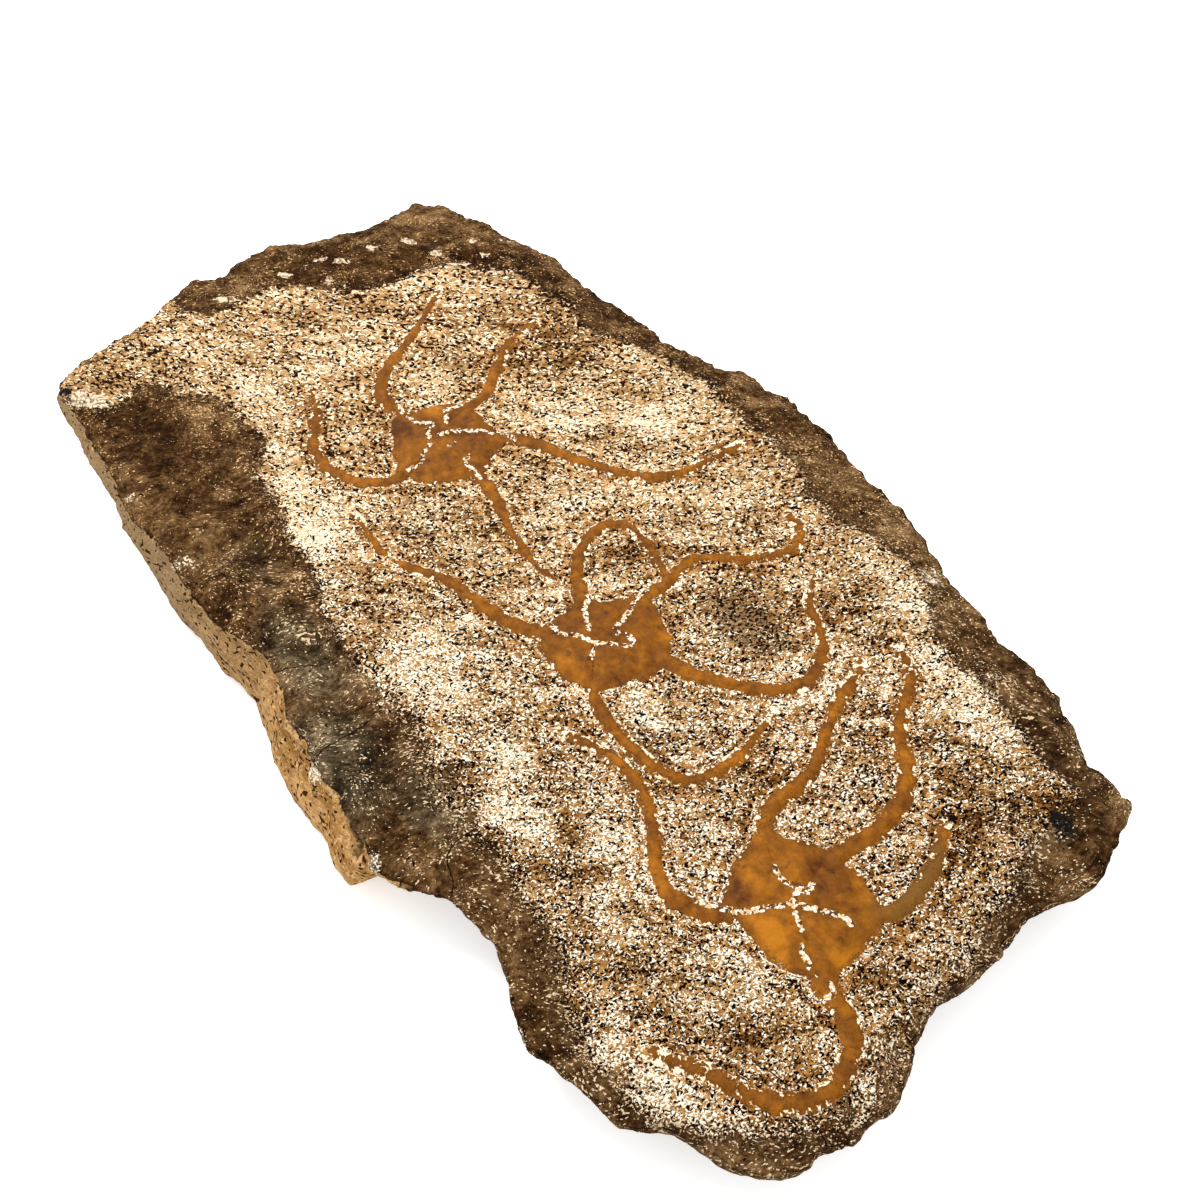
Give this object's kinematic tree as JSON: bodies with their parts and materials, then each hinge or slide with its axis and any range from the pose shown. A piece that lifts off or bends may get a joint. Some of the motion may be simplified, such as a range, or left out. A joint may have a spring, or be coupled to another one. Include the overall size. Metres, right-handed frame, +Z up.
{
  "type": "fossil brittle star plate",
  "caption": "Broken slab of fine brown stone with fossil brittle stars in low relief on its worked upper face, for display lying flat.",
  "frame": {"origin": "middle of the footprint, on the plane of the flat underside", "axes": "+X along the slab's long axis, towards the end that holds starfish_lower; +Y towards the long back edge; +Z up, out of the worked face"},
  "size_m": [0.3478, 0.1952, 0.025],
  "materials": {
    "stone": "rough, worked face of cream, tan and brown grains inside a dark brown rind, tan broken sides",
    "fossil": "smooth ochre orange, slightly satin, with chalky white lines along the mouth furrows"
  },
  "bodies": {
    "root": {"matrix_slab": "stone", "starfish_upper": "fossil", "starfish_middle": "fossil", "starfish_lower": "fossil"}
  },
  "joints": []
}
